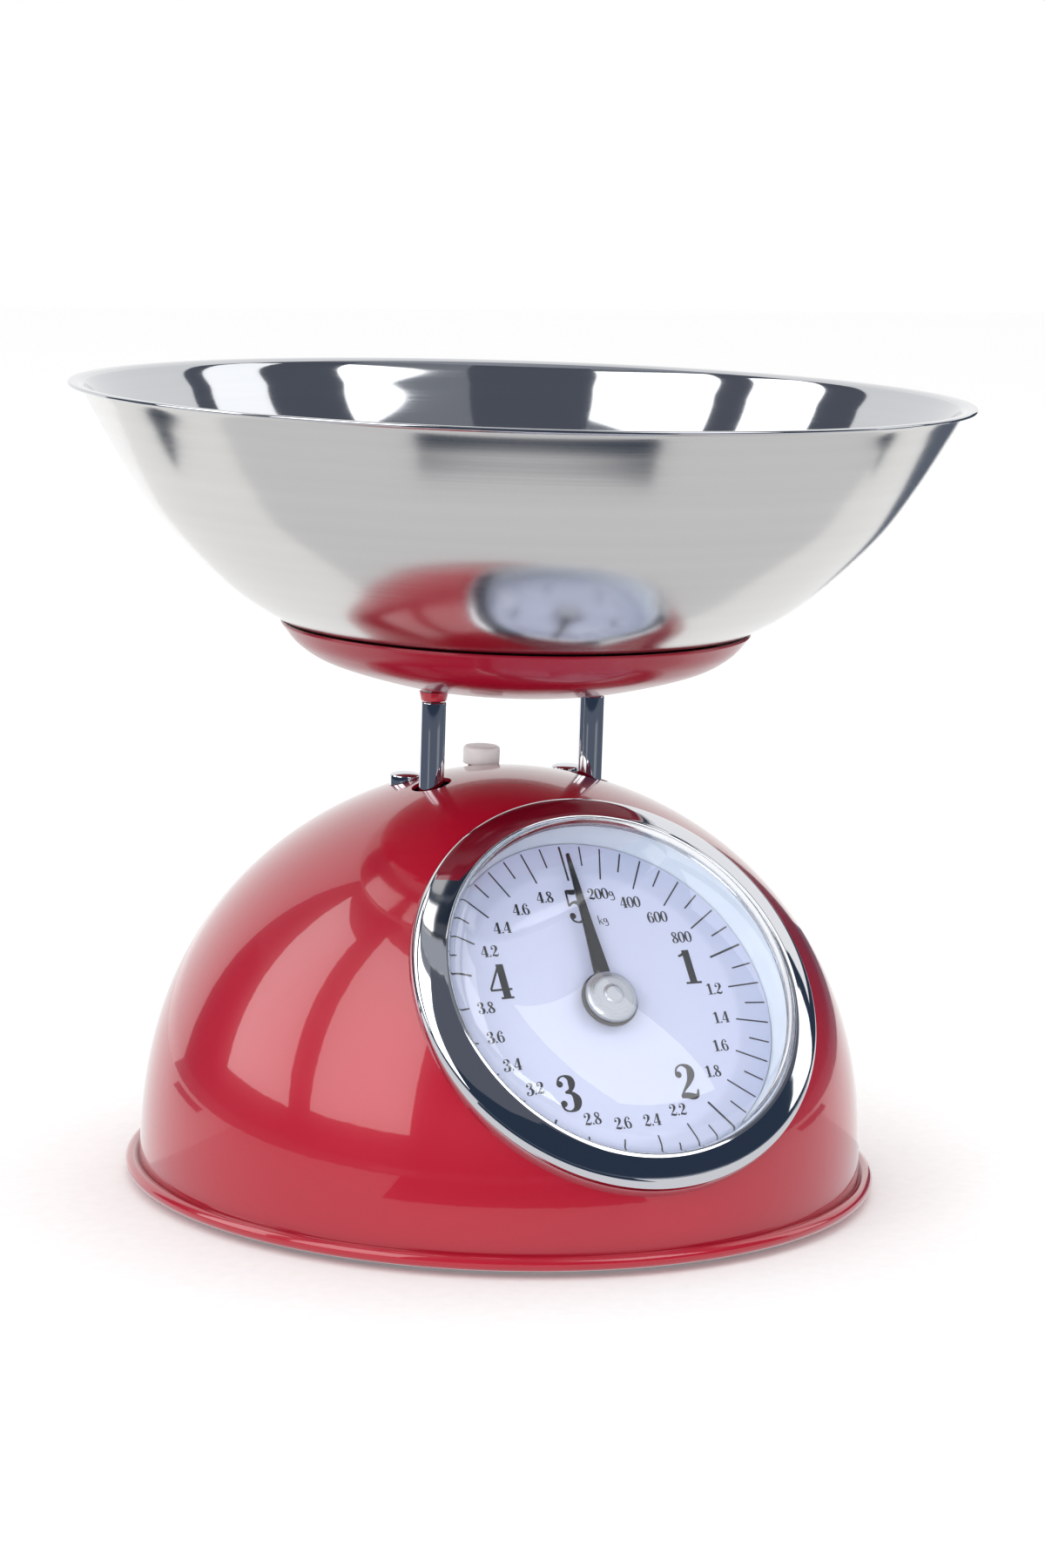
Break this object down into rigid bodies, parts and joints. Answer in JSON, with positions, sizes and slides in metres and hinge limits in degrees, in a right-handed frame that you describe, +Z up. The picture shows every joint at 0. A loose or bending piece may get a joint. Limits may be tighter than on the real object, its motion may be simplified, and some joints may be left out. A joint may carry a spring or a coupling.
{
  "type": "kitchen scale",
  "caption": "Mechanical kitchen scale: a red domed housing with a leaning dial, two posts carrying a shallow dish, and a wide lift-off steel bowl.",
  "frame": {"origin": "on the table, under the middle of the bowl and of the round base", "axes": "+Z up; the dial faces -Y and upwards; +X to the right as the dial is read"},
  "size_m": [0.25, 0.25, 0.2225],
  "materials": {
    "red_enamel": "glossy enamel on pressed steel",
    "satin_steel": "satin outside, bright inside",
    "chrome": "bright chrome plate",
    "white_enamel": "matt white enamel",
    "clear_lens": "clear, polished",
    "black_enamel": "satin black paint",
    "spun_aluminium": "spun, fine circular grain",
    "milk_plastic": "milky white, moulded",
    "zinc_steel": "zinc plated, dull",
    "spring_steel": "drawn wire",
    "brass": "turned and cut, bright",
    "black_rubber": "moulded, matt"
  },
  "bodies": {
    "housing": {"dome_housing": "red_enamel", "base_plate": "zinc_steel", "foot_1": "black_rubber", "foot_2": "black_rubber", "foot_3": "black_rubber", "foot_4": "black_rubber", "base_lug_1": "zinc_steel", "base_lug_2": "zinc_steel", "base_lug_3": "zinc_steel", "base_screw_1": "zinc_steel", "base_screw_2": "zinc_steel", "base_screw_3": "zinc_steel", "dial_cup": "white_enamel", "dial_plate": "white_enamel", "lens": "clear_lens", "bezel": "chrome", "movement_bracket": "zinc_steel", "movement_screw_upper": "zinc_steel", "movement_screw_lower": "zinc_steel", "front_shaft_bush": "brass", "rear_shaft_bush": "brass", "mechanism_frame": "zinc_steel", "frame_spacer_left": "zinc_steel", "frame_spacer_right": "zinc_steel", "frame_screw_left": "chrome", "frame_screw_right": "chrome", "frame_nut_left": "zinc_steel", "frame_nut_right": "zinc_steel", "upper_frame_pin": "zinc_steel", "lower_frame_pin": "zinc_steel", "zero_bush": "brass", "spring_left": "spring_steel", "spring_right": "spring_steel"},
    "platform": {"load_carrier": "zinc_steel", "rack": "brass", "rack_screw_left": "zinc_steel", "rack_screw_right": "zinc_steel", "post_left": "chrome", "post_right": "chrome", "post_boss_left": "red_enamel", "post_boss_right": "red_enamel", "dish_screw_left": "zinc_steel", "dish_screw_right": "zinc_steel", "carrier_screw_left": "zinc_steel", "carrier_screw_right": "zinc_steel", "weighing_dish": "red_enamel", "upper_carrier_pin": "zinc_steel", "lower_carrier_pin": "zinc_steel"},
    "upper_lever": {"upper_lever": "zinc_steel"},
    "lower_lever": {"lower_lever": "zinc_steel"},
    "pointer": {"pinion_shaft": "brass", "pointer": "black_enamel", "pointer_cap": "spun_aluminium"},
    "zero_adjuster": {"zero_knob": "milk_plastic", "zero_screw": "zinc_steel"},
    "spring_bridge": {"spring_bridge": "zinc_steel"},
    "bowl": {"bowl": "satin_steel"}
  },
  "joints": [
    {"name": "platform_travel", "type": "slide", "parent": "housing", "child": "platform", "axis": [0, 0, -1], "range_m": [0, 0.01613], "stiffness_N_per_m": 3040, "springref_m": -0.00255, "deforming": ["spring_left", "spring_right"]},
    {"name": "pointer_turn", "type": "hinge", "parent": "housing", "child": "pointer", "pos_m": [0, -0.06047, 0.06192], "axis": [0, 0.7791, -0.6269], "range_deg": [0, 360]},
    {"name": "upper_lever_swing", "type": "hinge", "parent": "housing", "child": "upper_lever", "pos_m": [0, 0.04464, 0.06446], "axis": [1, 0, 0], "range_deg": [0, 20.7]},
    {"name": "lower_lever_swing", "type": "hinge", "parent": "housing", "child": "lower_lever", "pos_m": [0, 0.04464, 0.04196], "axis": [1, 0, 0], "range_deg": [0, 20.7]},
    {"name": "zero_knob_turn", "type": "hinge", "parent": "housing", "child": "zero_adjuster", "pos_m": [0, 0.0195, 0.1204], "axis": [0, 0, 1], "range_deg": [-720, 720]},
    {"name": "bridge_travel", "type": "slide", "parent": "housing", "child": "spring_bridge", "axis": [0, 0, 1], "range_m": [-0.0014, 0.0014]},
    {"name": "bowl_lift", "type": "slide", "parent": "platform", "child": "bowl", "axis": [0, 0, 1], "range_m": [0, 0.12]}
  ],
  "couplings": [
    {"joint": "pointer_turn", "follows": "platform_travel", "rad_per_m": 389.55},
    {"joint": "upper_lever_swing", "follows": "platform_travel", "rad_per_m": 22.343},
    {"joint": "lower_lever_swing", "follows": "platform_travel", "rad_per_m": 22.343},
    {"joint": "zero_knob_turn", "follows": "bridge_travel", "rad_per_m": -8976}
  ]
}
